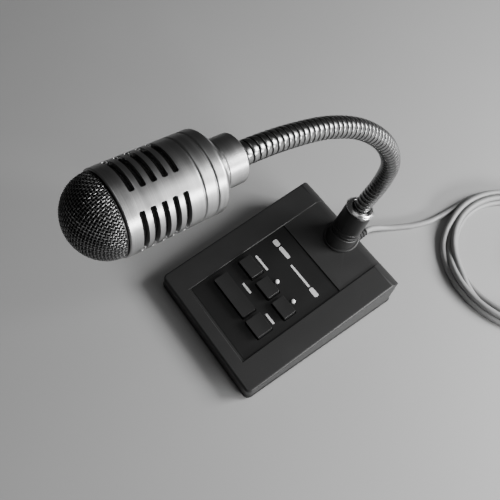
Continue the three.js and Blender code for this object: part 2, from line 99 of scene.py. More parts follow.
class Wave:
    # A socket in an expression: each operator adds a Math node
    def __init__(self, recipe, socket):
        self.recipe = recipe
        self.socket = socket

    def maths(self, operation, *others):
        values = {0: self}
        values.update({place + 1: other for place, other in enumerate(others)})
        return self.recipe.add("ShaderNodeMath", {"operation": operation}, values)

    def __add__(self, other):
        return self.maths("ADD", other)

    __radd__ = __add__

    def __sub__(self, other):
        return self.maths("SUBTRACT", other)

    def __rsub__(self, other):
        return self.recipe.add("ShaderNodeMath", {"operation": "SUBTRACT"}, {0: other, 1: self})

    def __mul__(self, other):
        return self.maths("MULTIPLY", other)

    __rmul__ = __mul__

    def between(self, low, high):
        # 0 below low, 1 above high, smooth between
        return self.recipe.add("ShaderNodeMapRange", {"interpolation_type": "SMOOTHSTEP"},
                               {"Value": self, "From Min": low, "From Max": high})


class Recipe:
    # A material whose nodes come from one method
    def __init__(self, name):
        self.material = bpy.data.materials.new(name)
        self.material.use_nodes = True
        self.tree = self.material.node_tree
        self.surface = self.tree.nodes["Principled BSDF"]

    def add(self, kind, settings=None, values=None, output=0):
        node = self.tree.nodes.new(kind)
        for key, setting in (settings or {}).items():
            setattr(node, key, setting)
        for key, value in (values or {}).items():
            self.feed(node.inputs[key], value)
        return Wave(self, node.outputs[output])

    def feed(self, socket, value):
        if isinstance(value, Wave):
            self.tree.links.new(value.socket, socket)
        else:
            socket.default_value = value

    def set(self, **values):
        for key, value in values.items():
            self.feed(self.surface.inputs[key.replace("_", " ")], value)

    def place(self, frameMatrix=None, scale=(1, 1, 1)):
        # Object coordinates, centred and turned into a piece's own frame, then scaled
        coords = self.add("ShaderNodeTexCoord", output="Object")
        if frameMatrix is not None:
            inverse = frameMatrix.inverted()
            coords = self.add("ShaderNodeMapping", None, {
                "Vector": coords, "Location": inverse.to_translation(), "Rotation": inverse.to_euler()})
        return self.add("ShaderNodeMapping", None, {"Vector": coords, "Scale": scale})

    def noise(self, coords, scale, detail=3.0, rough=0.5):
        return self.add("ShaderNodeTexNoise", None, {
            "Vector": coords, "Scale": scale, "Detail": detail, "Roughness": rough})

    def cells(self, coords, scale):
        return self.add("ShaderNodeTexVoronoi", None, {"Vector": coords, "Scale": scale})

    def mix(self, share, first, second):
        # Sockets 6 and 7 are the two colours, and output 2 is the colour
        return self.add("ShaderNodeMix", {"data_type": "RGBA"}, {0: share, 6: first, 7: second}, 2)

    def bump(self, height, strength, distance):
        self.set(Normal=self.add("ShaderNodeBump", None, {
            "Height": height, "Strength": strength, "Distance": distance}))


def grey(level, warm=0.0):
    return (level * (1 + warm), level, level * (1 - warm), 1)


def mouldedPlastic(name, level, roughness, grain=0.00006, grainScale=1900):
    # Spark-eroded plastic: a fine cell grain, cloudy sheen and faint handling marks
    recipe = Recipe(name)
    coords = recipe.place()
    clouds = recipe.noise(coords, 38, 4)
    grains = recipe.noise(coords, grainScale, 2, 0.6)
    marks = recipe.noise(recipe.place(scale=(1, 7, 1)), 160, 5, 0.7).between(0.62, 0.75)
    colour = recipe.mix(clouds, grey(level * 0.82), grey(level * 1.15))
    recipe.set(Base_Color=recipe.mix(marks * 0.35, colour, grey(level * 1.9)),
               Roughness=roughness + clouds * 0.12 - marks * 0.1)
    recipe.surface.inputs["Specular IOR Level"].default_value = 0.45
    recipe.bump(grains, 0.55, grain)
    return recipe.material


def turnedSilver(name, level, frameMatrix):
    # Turned and satin-brushed metal: fine lines around the axis, a little dust in the lines
    recipe = Recipe(name)
    lines = recipe.noise(recipe.place(frameMatrix, (14, 14, 2600)), 1, 3, 0.6)
    broad = recipe.noise(recipe.place(frameMatrix, (22, 22, 260)), 1, 3)
    dust = recipe.noise(recipe.place(), 900, 3).between(0.66, 0.78)
    colour = recipe.mix(lines * 0.6 + broad * 0.4, grey(level * 0.55), grey(level * 1.35))
    recipe.set(Base_Color=recipe.mix(dust * 0.2, colour, grey(0.5)), Metallic=1.0,
               Roughness=0.20 + lines * 0.16 + broad * 0.12)
    recipe.bump(lines, 0.6, 0.00005)
    return recipe.material


def polishedPlate(name, level, roughness):
    # Bright plating with faint smears
    recipe = Recipe(name)
    smears = recipe.noise(recipe.place(scale=(1, 1, 2.5)), 240, 4, 0.6)
    pits = recipe.noise(recipe.place(), 2600, 2)
    recipe.set(Base_Color=recipe.mix(smears, grey(level * 0.86), grey(level)), Metallic=1.0,
               Roughness=roughness + smears.between(0.45, 0.7) * 0.12)
    recipe.bump(pits, 0.15, 0.00002)
    return recipe.material


def blackChromeWire(name):
    # Wound wire: dark plating; the crests are painted paler as a painted highlight and the valleys near black
    # as painted shade
    recipe = Recipe(name)
    crest = recipe.add("ShaderNodeAttribute", {"attribute_name": "crest"}, output="Fac")
    smears = recipe.noise(recipe.place(), 420, 4, 0.6)
    # Painted highlight on the crests and painted shade in the valleys and on the core, from the crest
    # attribute, varied by smears
    paintedCrestLight = crest.between(0.55, 1.0) * (0.55 + smears * 0.7)
    recipe.set(Base_Color=recipe.mix(paintedCrestLight, grey(0.02), grey(0.24)), Metallic=1.0,
               Roughness=0.34 - paintedCrestLight * 0.14 + smears * 0.08)
    recipe.bump(recipe.noise(recipe.place(), 2400, 2), 0.2, 0.00002)
    return recipe.material


def wovenWire(name):
    # Dark oxidised wire; the outer knuckles are painted paler as a painted highlight and the inner runs
    # darker as painted shade
    recipe = Recipe(name)
    paintedKnuckleLight = recipe.add("ShaderNodeAttribute", {"attribute_name": "crest"}, output="Fac")
    cloud = recipe.noise(recipe.place(), 300, 3)
    # Painted highlight on the outer knuckles, painted shade on the inner runs
    recipe.set(Base_Color=recipe.mix(paintedKnuckleLight.between(0.5, 1.0) * 0.9, grey(0.035), grey(0.34)), Metallic=1.0,
               Roughness=0.34 + cloud * 0.14)
    recipe.bump(recipe.noise(recipe.place(), 3600, 2), 0.25, 0.00002)
    return recipe.material


def openFoam(name):
    recipe = Recipe(name)
    cells = recipe.cells(recipe.place(), 1300)
    clouds = recipe.noise(recipe.place(), 500, 4)
    recipe.set(Base_Color=recipe.mix(cells, grey(0.004), grey(0.02)), Roughness=0.9 + clouds * 0.1)
    recipe.bump(cells, 0.9, 0.0004)
    return recipe.material


def mattRubber(name, level):
    recipe = Recipe(name)
    clouds = recipe.noise(recipe.place(), 120, 4)
    dust = recipe.noise(recipe.place(), 1500, 3).between(0.6, 0.8)
    recipe.set(Base_Color=recipe.mix(dust * 0.4, recipe.mix(clouds, grey(level * 0.8), grey(level * 1.2)),
                                     grey(level * 3)), Roughness=0.72 + clouds * 0.16)
    recipe.bump(recipe.noise(recipe.place(), 1400, 2), 0.4, 0.00005)
    return recipe.material


def cordVinyl(name):
    # Soft grey jacket with a slight greasy sheen and darker handled stretches
    recipe = Recipe(name)
    clouds = recipe.noise(recipe.place(), 26, 4)
    scuffs = recipe.noise(recipe.place(), 700, 3).between(0.6, 0.76)
    colour = recipe.mix(clouds, grey(0.20), grey(0.27))
    recipe.set(Base_Color=recipe.mix(scuffs * 0.4, colour, grey(0.15)), Roughness=0.42 + clouds * 0.16)
    recipe.bump(recipe.noise(recipe.place(), 900, 2), 0.3, 0.00005)
    return recipe.material


def platedSteel(name, level, roughness=0.34):
    recipe = Recipe(name)
    spangle = recipe.cells(recipe.place(), 420)
    smears = recipe.noise(recipe.place(), 260, 4)
    recipe.set(Base_Color=recipe.mix(spangle, grey(level * 0.85, 0.01), grey(level, -0.01)), Metallic=1.0,
               Roughness=roughness + smears * 0.14)
    recipe.bump(recipe.noise(recipe.place(), 1800, 2), 0.2, 0.00003)
    return recipe.material


def lacqueredBoard(name):
    # Solder mask over copper tracks that run along and across the board
    recipe = Recipe(name)
    along = recipe.add("ShaderNodeTexBrick", {"offset": 0.5}, {
        "Vector": recipe.place(deckFrame), "Scale": 160, "Mortar Size": 0.09}, "Fac")
    tracks = recipe.mix(along, (0.006, 0.07, 0.03, 1), (0.02, 0.13, 0.05, 1))
    pads = recipe.cells(recipe.place(deckFrame), 210).between(0.12, 0.2)
    recipe.set(Base_Color=recipe.mix(pads, grey(0.5), tracks), Roughness=0.3 + pads * 0.1)
    recipe.bump(along, 0.3, 0.00005)
    return recipe.material


def milkyLamp(name):
    recipe = Recipe(name)
    haze = recipe.noise(recipe.place(), 700, 3)
    recipe.set(Base_Color=recipe.mix(haze, grey(0.78), grey(0.92)), Roughness=0.22 + haze * 0.1)
    recipe.surface.inputs["Coat Weight"].default_value = 0.4
    return recipe.material


def printInk(name):
    # Screen-printed ink, slightly thin in places
    recipe = Recipe(name)
    thin = recipe.noise(recipe.place(), 1600, 4, 0.7).between(0.58, 0.72)
    recipe.set(Base_Color=recipe.mix(thin, grey(0.62), grey(0.36)), Roughness=0.5 + thin * 0.2)
    return recipe.material


finishes = {
    "shell": mouldedPlastic("shellPlastic", 0.020, 0.40),
    "plate": mouldedPlastic("platePlastic", 0.008, 0.34, 0.00003, 2600),
    "key": mouldedPlastic("keyPlastic", 0.016, 0.34, 0.00003, 2600),
    "nut": mouldedPlastic("nutPlastic", 0.010, 0.32, 0.00003, 2400),
    "inner": mouldedPlastic("innerPlastic", 0.02, 0.5),
    "silver": turnedSilver("turnedSilver", 0.36, headFrame),
    "chrome": polishedPlate("polishedChrome", 0.78, 0.07),
    "ringMetal": polishedPlate("satinChrome", 0.72, 0.22),
    "wire": blackChromeWire("blackChromeWire"),
    "mesh": wovenWire("wovenWire"),
    "foam": openFoam("openFoam"),
    "rubber": mattRubber("mattRubber", 0.018),
    "cord": cordVinyl("cordVinyl"),
    "steel": platedSteel("platedSteel", 0.55),
    "iron": platedSteel("blackenedSteel", 0.16, 0.42),
    "board": lacqueredBoard("lacqueredBoard"),
    "lamp": milkyLamp("milkyLamp"),
    "ink": printInk("printInk"),
}
print("finishes made")


def linked(name, data):
    thing = bpy.data.objects.new(name, data)
    bpy.context.scene.collection.objects.link(thing)
    return thing


def poured(bm, name):
    # The bmesh as an object, with nothing else done to it
    mesh = bpy.data.meshes.new(name)
    bm.to_mesh(mesh)
    bm.free()
    return linked(name, mesh)


def loose(bm, name, frameMatrix=None):
    # A closed solid, moved from its own frame if one is given
    if frameMatrix is not None:
        bmesh.ops.transform(bm, matrix=frameMatrix, verts=bm.verts)
    bmesh.ops.remove_doubles(bm, verts=bm.verts, dist=1e-7)
    bmesh.ops.recalc_face_normals(bm, faces=bm.faces)
    return poured(bm, name)


def keep(bm, name, finish, body, replaces=(), sharpDeg=35, frameMatrix=None):
    # Turns a bmesh into a piece that rides on its body
    return dress(loose(bm, name, frameMatrix), finish, body, replaces, sharpDeg)


def dress(piece, finish, body, replaces=(), sharpDeg=35):
    if piece.type == "MESH":
        evenShading(piece, sharpDeg)
    piece.data.materials.clear()
    piece.data.materials.append(finishes[finish])
    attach(piece, body)
    if replaces:
        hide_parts(*replaces)
    return piece


def settle(thing):
    # Applies every modifier
    graph = bpy.context.evaluated_depsgraph_get()
    mesh = bpy.data.meshes.new_from_object(thing.evaluated_get(graph))
    thing.modifiers.clear()
    thing.data = mesh
    return thing


def combine(thing, other, operation):
    change = thing.modifiers.new("cut", "BOOLEAN")
    change.operation = operation
    change.solver = "EXACT"
    change.object = other
    settle(thing)
    bpy.data.objects.remove(other)
    return thing


def evenShading(thing, sharpDeg):
    # Flat faces keep their own normals and only the rounded edges blend
    thing.data.shade_smooth()
    thing.data.set_sharp_from_angle(angle=math.radians(sharpDeg))
    change = thing.modifiers.new("shading", "WEIGHTED_NORMAL")
    change.keep_sharp = True
    change.weight = 100
    return settle(thing)


def roundEdges(thing, width, segments=2, angleDeg=32):
    change = thing.modifiers.new("edges", "BEVEL")
    change.width = width
    change.segments = segments
    change.limit_method = "ANGLE"
    change.angle_limit = math.radians(angleDeg)
    return settle(thing)


def softened(points, radius, closed=True, steps=3):
    # Rounds the corners of a polygon of pairs
    made = []
    count = len(points)
    for place, corner in enumerate(points):
        here = Vector(corner)
        if not closed and place in (0, count - 1):
            made.append(here)
            continue
        before = Vector(points[place - 1]) - here
        after = Vector(points[(place + 1) % count]) - here
        reach = min(radius, before.length * 0.45, after.length * 0.45)
        first, last = here + before.normalized() * reach, here + after.normalized() * reach
        for step in range(steps + 1):
            share = step / steps
            made.append(first * (1 - share) ** 2 + here * 2 * share * (1 - share) + last * share ** 2)
    return made


def spun(profile, closed=False, steps=96, unit=mm):
    # Spins pairs of radius and height about z
    bm = bmesh.new()
    verts = [bm.verts.new((p[0] * unit, 0, p[1] * unit)) for p in profile]
    edges = [bm.edges.new(pair) for pair in zip(verts, verts[1:])]
    if closed:
        edges.append(bm.edges.new((verts[-1], verts[0])))
    bmesh.ops.spin(bm, geom=verts + edges, cent=(0, 0, 0), axis=(0, 0, 1), angle=2 * math.pi, steps=steps,
                   use_merge=True, use_duplicate=False)
    bmesh.ops.remove_doubles(bm, verts=bm.verts, dist=1e-7)
    return bm


def block(size, centre=(0, 0, 0), rounding=0, segments=3, upright=False, bm=None):
    # A box, with all or only its upright edges rounded
    target = bm or bmesh.new()
    part = bmesh.new()
    bmesh.ops.create_cube(part, size=1)
    bmesh.ops.scale(part, vec=size, verts=part.verts)
    if rounding:
        edges = [edge for edge in part.edges
                 if not upright or abs(edge.verts[0].co.z - edge.verts[1].co.z) > size[2] * 0.5]
        bmesh.ops.bevel(part, geom=edges, offset=rounding, offset_type="OFFSET", affect="EDGES",
                        segments=segments, profile=0.5, material=-1, clamp_overlap=True)
    bmesh.ops.translate(part, vec=centre, verts=part.verts)
    pour(part, target)
    return target


def pour(source, target):
    # Adds one bmesh to another
    mesh = bpy.data.meshes.new("pour")
    source.to_mesh(mesh)
    source.free()
    target.from_mesh(mesh)
    bpy.data.meshes.remove(mesh)


def rod(radius, low, high, centre=(0, 0), bm=None, sides=32):
    target = bm or bmesh.new()
    part = spun([(0, low), (radius, low), (radius, high), (0, high)], steps=sides, unit=1)
    bmesh.ops.translate(part, vec=(centre[0], centre[1], 0), verts=part.verts)
    pour(part, target)
    return target


cordSettings = {
    "radius": 2.2 * mm, "lying": 2.25, "originY": 33.93, "coilCentre": (82, 236), "entryDeg": 188,
    "turns": ((60.3, 2.25), (57.9, 6.0), (55.5, 2.25), (53.1, 6.0), (50.7, 2.25)),
    "changes": (335, 670, 1005, 1340), "changeWidth": 34, "startDeg": 8, "stepDeg": 12,
    "tailDeg": 110, "tailRadius": 22, "tailTurn": 85, "tailSteps": 7, "bootLength": 22, "plugRadius": 7.5,
    "route": ((0, 146.5, 9), (0.1, 149.5, 8.8), (0.6, 153.5, 7.4), (1.7, 158.5, 5.2), (3.5, 163.5, 3.4),
              (6, 168.7, 2.5), (11, 178.5, 2.25), (14.6, 186, 2.25), (17.3, 193.5, 2.25),
              (19.3, 201.5, 2.25)),
}


def smooth(share):
    share = max(0.0, min(1.0, share))
    return share * share * (3 - 2 * share)


def inPlace(point):
    return Vector((point[0], point[1] - cordSettings["originY"], point[2])) * mm


def coilPoint(turned):
    # Where the cord lies after turning that many degrees clockwise from the entry
    say = cordSettings
    radius, height = say["turns"][0]
    for change, (nextRadius, nextHeight) in zip(say["changes"], say["turns"][1:]):
        share = smooth((turned - change) / say["changeWidth"] + 0.5)
        radius += (nextRadius - radius) * share
        height += (nextHeight - height) * share
    angle = math.radians(say["entryDeg"] - turned)
    return inPlace((say["coilCentre"][0] + radius * math.cos(angle),
                    say["coilCentre"][1] + radius * math.sin(angle), height))


def tailPoint(share):
    say = cordSettings
    middle = say["turns"][-1][0] - say["tailRadius"]
    start = math.radians(say["tailDeg"])
    angle = start - share * math.radians(say["tailTurn"])
    rise = smooth((share - 0.2) / 0.8) * (say["plugRadius"] + 0.05 - say["lying"])
    return inPlace((say["coilCentre"][0] + middle * math.cos(start) + say["tailRadius"] * math.cos(angle),
                    say["coilCentre"][1] + middle * math.sin(start) + say["tailRadius"] * math.sin(angle),
                    say["lying"] + rise))


def makeCord():
    say = cordSettings
    points = [inPlace(point) for point in say["route"]]
    first, last = say["startDeg"], 4 * 360 + say["entryDeg"] - say["tailDeg"]
    count = int(last / say["stepDeg"])
    points += [coilPoint(first + (last - first) * step / count) for step in range(count + 1)]
    points += [tailPoint((step + 1) / say["tailSteps"]) for step in range(say["tailSteps"])]
    curve = bpy.data.curves.new("cord", "CURVE")
    curve.dimensions = "3D"
    curve.bevel_depth = say["radius"]
    curve.bevel_resolution = 5
    curve.resolution_u = 4
    curve.use_fill_caps = True
    line = curve.splines.new("BEZIER")
    line.bezier_points.add(len(points) - 1)
    for knot, point in zip(line.bezier_points, points):
        knot.co = point
        knot.handle_left_type = knot.handle_right_type = "AUTO"
    cord = linked("cord", curve)
    dress(cord, "cord", "base", ("cord_lead", "cord_coil", "cord_tail"))
    length = sum((b - a).length for a, b in zip(points, points[1:]))
    print("cord length", round(length, 3))
    return cord, points[0], length


cord, cordExit, cordLength = makeCord()


def makeRelief():
    # Ribbed tapered boot, out of the rear wall
    profile = [(0, 124), (3.8, 124), (3.8, 128.3), (5.2, 128.3), (5.2, 130.3), (4.1, 130.8)]
    for rib in range(5):
        start = 131.6 + rib * 2.7
        wide = 4.0 - rib * 0.2
        profile += [(wide, start), (wide - 0.05, start + 1.5), (wide - 0.75, start + 1.7),
                    (wide - 0.8, start + 2.5)]
    profile += [(2.95, 145.2), (2.85, 146), (0, 146)]
    bm = spun(softened(profile, 0.35, closed=False), steps=48)
    out = frameOf((0, -cordSettings["originY"] * mm, baseSettings["cordExitZ"]), (1, 0, 0), (0, 1, 0))
    return keep(bm, "cord_relief_boot", "rubber", "base", ("cord_relief",), 40, out)


def makePlug():
    # Generic three-pin round plug, lying inside the coil
    say = cordSettings
    heading = math.radians(say["tailDeg"] - say["tailTurn"] - 90)
    ahead = Vector((math.cos(heading), math.sin(heading), 0))
    spot = frameOf(tailPoint(1) + ahead * say["bootLength"] * mm, (0, 0, 1), ahead)
    boot = [(0, -22), (2.9, -22), (3.1, -21)]
    for rib in range(4):
        start = -19.8 + rib * 2.6
        wide = 3.5 + rib * 0.22
        boot += [(wide - 0.6, start), (wide, start + 0.3), (wide, start + 1.7), (wide - 0.55, start + 1.9)]
    boot += [(4.3, -8.6), (4.6, -6), (4.6, 0), (0, 0)]
    bootPiece = keep(spun(softened(boot, 0.3, closed=False), steps=40), "plug_boot_ribbed", "rubber", "base",
                     ("plug_boot",), 40, spot)
    shell = [(6, 0.3), (6.8, 0.3), (7.5, 1.5), (7.5, 4), (7.2, 4.3), (7.2, 5), (7.5, 5.3), (7.5, 17),
             (7.1, 17.5), (7.1, 24), (6, 24)]
    shellPiece = keep(spun(softened(shell, 0.25), True, 64), "plug_shell_turned", "steel", "base",
                      ("plug_shell",), 40, spot)
    bm = spun(softened([(0, 0.3), (5.7, 0.3), (5.7, 21), (0, 21)], 0.3, closed=False), steps=48)
    insert = loose(bm, "insert")
    holes = bmesh.new()
    for pin in range(3):
        angle = math.radians(90 + pin * 120)
        rod(1.35 * mm, 12 * mm, 26 * mm, (3.1 * mm * math.cos(angle), 3.1 * mm * math.sin(angle)), holes, 20)
    combine(insert, loose(holes, "pinHoles"), "DIFFERENCE")
    bm = bmesh.new()
    bm.from_mesh(insert.data)
    bpy.data.objects.remove(insert)
    insertPiece = keep(bm, "plug_insert_three_pin", "inner", "base", ("plug_insert",), 40,
                       spot)
    return [bootPiece, shellPiece, insertPiece]


reliefBoot = makeRelief()
plugPieces = makePlug()
[reliefBoot] + plugPieces
print("cord made")


keyTable = {}
for key in ("zone_key_1", "zone_key_2", "zone_key_3", "talk_bar", "chime_key"):
    corners = [deckFrame.inverted() @ v.co for v in frame["nodes"][key].data.vertices]
    top = [c for c in corners if c.z > 1.9 * mm]
    low, high = (Vector((f(c.x for c in top), f(c.y for c in top))) for f in (min, max))
    size = high - low
    keyTable[key] = {"x": (low.x + high.x) / 2, "up": (low.y + high.y) / 2,
                     "width": size.x + 1 * mm, "length": size.y + 1 * mm}
lampTable = {}
for lamp in ("lamp_left", "lamp_right"):
    low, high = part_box(lamp)
    place = deckFrame.inverted() @ ((low + high) / 2)
    lampTable[lamp] = (place.x, place.y)


def sideOutline(sink, inset, rearRadius, bottom, frontRadius):
    # Side view of the wedge as pairs of y and z, sunk below the deck plane and shrunk by a wall
    say = baseSettings
    slope = math.tan(deckSlope)
    top = [say["frontHeight"] - sink / math.cos(deckSlope) + y * slope for y in (0, say["depth"])]
    rear = say["depth"] - inset
    bend = math.pi / 2 + deckSlope
    centreY = rear - rearRadius
    centreZ = top[0] + centreY * slope - rearRadius / math.cos(deckSlope)
    outline = [(inset, bottom), (rear, bottom)]
    outline += [(centreY + rearRadius * math.cos(a), centreZ + rearRadius * math.sin(a))
                for a in (bend * step / 12 for step in range(13))]
    frontZ = top[0] + (frontRadius + inset) * slope - frontRadius / math.cos(deckSlope)
    outline += [(inset + frontRadius + frontRadius * math.cos(a), frontZ + frontRadius * math.sin(a))
                for a in (bend + (math.pi - bend) * step / 6 for step in range(7))]
    return outline


def prism(outline, half):
    # Pairs of y and z, stretched across
    bm = bmesh.new()
    verts = [bm.verts.new((-half, y + frontY, z)) for y, z in outline]
    face = bm.faces.new(verts)
    made = bmesh.ops.extrude_face_region(bm, geom=[face])
    moved = [g for g in made["geom"] if isinstance(g, bmesh.types.BMVert)]
    bmesh.ops.translate(bm, vec=(2 * half, 0, 0), verts=moved)
    return bm


def keyWells():
    # What the plate and the housing both leave open: a well under each key and a hole for each lamp
    wells = bmesh.new()
    for key in keyTable.values():
        block((key["width"] + 1 * mm, key["length"] + 1 * mm, 20 * mm), (key["x"], key["up"], 0), 0.6 * mm, 3,
              True, wells)
    for x, up in lampTable.values():
        rod(1.9 * mm, -20 * mm, 5 * mm, (x, up), wells, 24)
    return loose(wells, "wells", deckFrame)


def makeHousing():
    say = baseSettings
    half = say["width"] / 2
    middleY = frontY + say["depth"] / 2
    high = sideOutline(0, 0, say["rearRadius"], say["footHeight"], say["frontRadius"])
    low = sideOutline(say["channelDepth"], 0, say["rearRadius"] - 0.6 * mm, say["footHeight"],
                      say["frontRadius"])
    shell = loose(prism(high, half), "shell")
    tall = 80 * mm
    plan = block((say["width"], say["depth"], tall), (0, middleY, say["frontHeight"] - tall / 2),
                 say["cornerRadius"], 8, True)
    top = max(plan.faces, key=lambda face: face.calc_center_median().z)
    bmesh.ops.bevel(plan, geom=list(top.edges), offset=say["edge"], offset_type="OFFSET", affect="EDGES",
                    segments=5, profile=0.5, material=-1)
    for vert in plan.verts:
        vert.co.z += (vert.co.y - frontY) * math.tan(deckSlope)
    combine(shell, loose(plan, "plan"), "INTERSECT")
    band = loose(block((say["channelWidth"], say["depth"], 160 * mm),
                       (0, frontY + say["lipDepth"] + say["depth"] / 2, 0)), "band")
    combine(band, loose(prism(low, half), "low"), "DIFFERENCE")
    combine(shell, band, "DIFFERENCE")
    softenStep(shell)
    # the foot rim stands a little proud all round
    rim = block((say["width"] + 2 * say["rimOut"], say["depth"] + 2 * say["rimOut"], say["rimHeight"]),
                (0, middleY, say["footHeight"] + say["rimHeight"] / 2), say["cornerRadius"], 8, True)
    combine(shell, loose(rim, "rim"), "UNION")
    # the stem's boss, trimmed flush with the rear wall
    r, top = say["bossRadius"] / mm, say["bossTop"] / mm
    profile = [(0, -10), (r, -10), (r, 0), (r - 0.3, top - 0.5), (r - 0.8, top), (0, top)]
    boss = loose(spun(softened(profile, 0.4, closed=False)), "boss", stemFrame)
    foot = say["bossFoot"] / mm
    ledge = spun(softened([(0, -4), (foot, -4), (foot, 0.2), (foot - 0.5, 0.75), (0, 0.75)], 0.5, False))
    stemUp = deckFrame.inverted() @ stemFrame.to_translation()
    combine(boss, loose(ledge, "ledge", deckFrame @ Matrix.Translation((0, stemUp.y, 0))), "UNION")
    trim = loose(block((60 * mm, 80 * mm, 80 * mm), (0, frontY + say["depth"] - 40 * mm, 30 * mm)), "trim")
    combine(boss, trim, "INTERSECT")
    combine(shell, boss, "UNION")
    # the hollow, with its own round corners
    hollow = loose(prism(sideOutline(say["roof"], say["wall"], say["rearRadius"] - say["wall"], 0, 0.5 * mm),
                         half - say["wall"]), "hollow")
    inner = block((say["width"] - 2 * say["wall"], say["depth"] - 2 * say["wall"], 160 * mm), (0, middleY, 0),
                  2 * mm, 4, True)
    combine(hollow, loose(inner, "inner"), "INTERSECT")
    post = spun([(0, -10), (r + 1.4, -10), (r + 1.4, 30), (0, 30)], steps=48)
    combine(hollow, loose(post, "post", stemFrame), "DIFFERENCE")
    combine(shell, hollow, "DIFFERENCE")
    # pocket for the plate, key wells, lamp holes, stem and cord holes
    plateMiddle = (say["plateFrom"] + say["plateTo"]) / 2
    cutter = block((say["channelWidth"], say["plateTo"] - say["plateFrom"], 10 * mm),
                   (0, plateMiddle, 5 * mm - say["pocketDepth"]), 0.8 * mm, 3, True)
    combine(shell, loose(cutter, "pocket", deckFrame), "DIFFERENCE")
    combine(shell, keyWells(), "DIFFERENCE")
    combine(shell, loose(rod(6.4 * mm, -20 * mm, 20 * mm), "bore", stemFrame), "DIFFERENCE")
    exitFrame = frameOf((0, frontY + say["depth"], say["cordExitZ"]), (1, 0, 0), (0, 1, 0))
    combine(shell, loose(rod(4.1 * mm, -6 * mm, 6 * mm), "hole", exitFrame), "DIFFERENCE")
    roundEdges(shell, 0.35 * mm, 3, 30)
    shell.name = "housing_shell"
    return dress(shell, "shell", "base", ("upper_shell",), 28)


def softenStep(shell):
    # Rounds the long top edges where the deck steps down into the channel
    say = baseSettings
    bm = bmesh.new()
    bm.from_mesh(shell.data)
    inner = say["width"] / 2 - 5 * mm
    edges = [edge for edge in bm.edges
             if edge.calc_length() > 20 * mm and edge.is_convex and edge.calc_face_angle(0) > 1.2
             and all(abs(vert.co.x) < inner and vert.co.y > frontY + 5 * mm and vert.co.z > 6 * mm
                     for vert in edge.verts)]
    bmesh.ops.bevel(bm, geom=edges, offset=say["stepEdge"], offset_type="OFFSET", affect="EDGES", segments=4,
                    profile=0.5, material=-1)
    bm.to_mesh(shell.data)
    bm.free()


makeHousing()
print("housing made")


def makePlate():
    say = baseSettings
    thick = say["pocketDepth"] - say["plateTop"] - 0.3 * mm
    bm = block((say["channelWidth"] - 0.6 * mm, say["plateTo"] - say["plateFrom"] - 0.6 * mm, thick),
               (0, (say["plateFrom"] + say["plateTo"]) / 2, -say["plateTop"] - thick / 2), 0.7 * mm, 4, True)
    plate = loose(bm, "key_plate", deckFrame)
    combine(plate, keyWells(), "DIFFERENCE")
    roundEdges(plate, 0.18 * mm, 2, 35)
    return dress(plate, "plate", "base", ("control_plate",), 30)


# Each bar is its place across, its place up the deck, its width and its length
markSettings = {
    "ink": 0.05, "corner": 0.35,
    "bars": ((-17.5, 61.3, 13.5, 1.5), (-8.5, 42.0, 9.0, 1.6), (18.2, 41.4, 8.6, 1.6),
             (-23.4, 78.6, 5.6, 3.6), (-14.2, 78.6, 10.6, 2.8), (6.0, 76.4, 20.0, 1.5),
             (20.9, 76.4, 7.4, 3.2)),
}


def makeMarks():
    # Plain printed bars: one over each labelled key and four in a row above
    ink = markSettings["ink"]
    bm = bmesh.new()
    top = -baseSettings["plateTop"] + ink * mm / 2
    for x, up, width, length in markSettings["bars"]:
        corner = min(width, length) * markSettings["corner"] * mm
        block((width * mm, length * mm, ink * mm), (x * mm, up * mm, top), corner, 4, True, bm)
    return keep(bm, "printed_marks", "ink", "base", (), 30, deckFrame)


keySettings = {"tall": 6.8 * mm, "top": 2.0 * mm, "bow": 60.0, "dip": 0.3, "corner": 0.9 * mm,
               "edge": 0.45 * mm}


def makeKey(name, key):
    # Cap with a shallow dish, its retaining lip and the post that works the switch
    say = keySettings
    tall, top, bow, dip = say["tall"], say["top"], say["bow"], say["dip"]
    cap = block((key["width"], key["length"], tall), (0, 0, top - tall / 2), say["corner"], 5, True)
    cap = loose(cap, "cap")
    barrel = spun([(0, -30), (bow, -30), (bow, 30), (0, 30)], steps=360)
    bmesh.ops.rotate(barrel, verts=barrel.verts, cent=(0, 0, 0), matrix=Matrix.Rotation(math.pi / 2, 3, "Y"))
    bmesh.ops.translate(barrel, vec=(0, 0, top + (bow - dip) * mm), verts=barrel.verts)
    combine(cap, loose(barrel, "barrel"), "DIFFERENCE")
    roundEdges(cap, say["edge"], 4, 40)
    bm = bmesh.new()
    bm.from_mesh(cap.data)
    bpy.data.objects.remove(cap)
    block((key["width"] + 1.8 * mm, key["length"] + 1.8 * mm, 1.4 * mm), (0, 0, -5.3 * mm), 0.2 * mm, 2,
          False, bm)
    rod(1.5 * mm, -8.2 * mm, -5.6 * mm, (0, 0), bm, 20)
    bmesh.ops.translate(bm, vec=(key["x"], key["up"], 0), verts=bm.verts)
    return keep(bm, name + "_cap", "key", name + "_body", (name,), 40, deckFrame)


def makeLamp(name, spot):
    dome = [(0, -9.9), (1.5, -9.9), (1.5, -0.7), (1.15, -0.25), (0.6, 0.0), (0, 0.1)]
    bm = spun(softened(dome, 0.12, False), steps=32)
    bmesh.ops.translate(bm, vec=(spot[0], spot[1], 0), verts=bm.verts)
    return keep(bm, name + "_lens", "lamp", "base", (name,), 40, deckFrame)


makePlate()
makeMarks()
for name, key in keyTable.items():
    makeKey(name, key)
for name, spot in lampTable.items():
    makeLamp(name, spot)
print("keys made")


undersideSettings = {
    "counterbore": [(0, 0), (3.4, 0), (3.4, 3.8), (1.8, 3.8), (1.8, 6), (0, 6)],
    "screw": [(0, 2.3), (2.2, 2.3), (3, 2.9), (3, 3.5), (1.4, 3.5), (1.4, 8.6), (0.6, 9.2), (0, 9.2)],
    "cross": (0.7 * mm, 3.4 * mm, 1.8 * mm), "crossHeight": 2.3 * mm, "firstTurnDeg": 20, "turnDeg": 37,
    "foot": [(0, 0.15), (2.2, 0.15), (2.5, 0), (5.3, 0), (6, 0.7), (6, 1.7), (0, 1.7)],
}


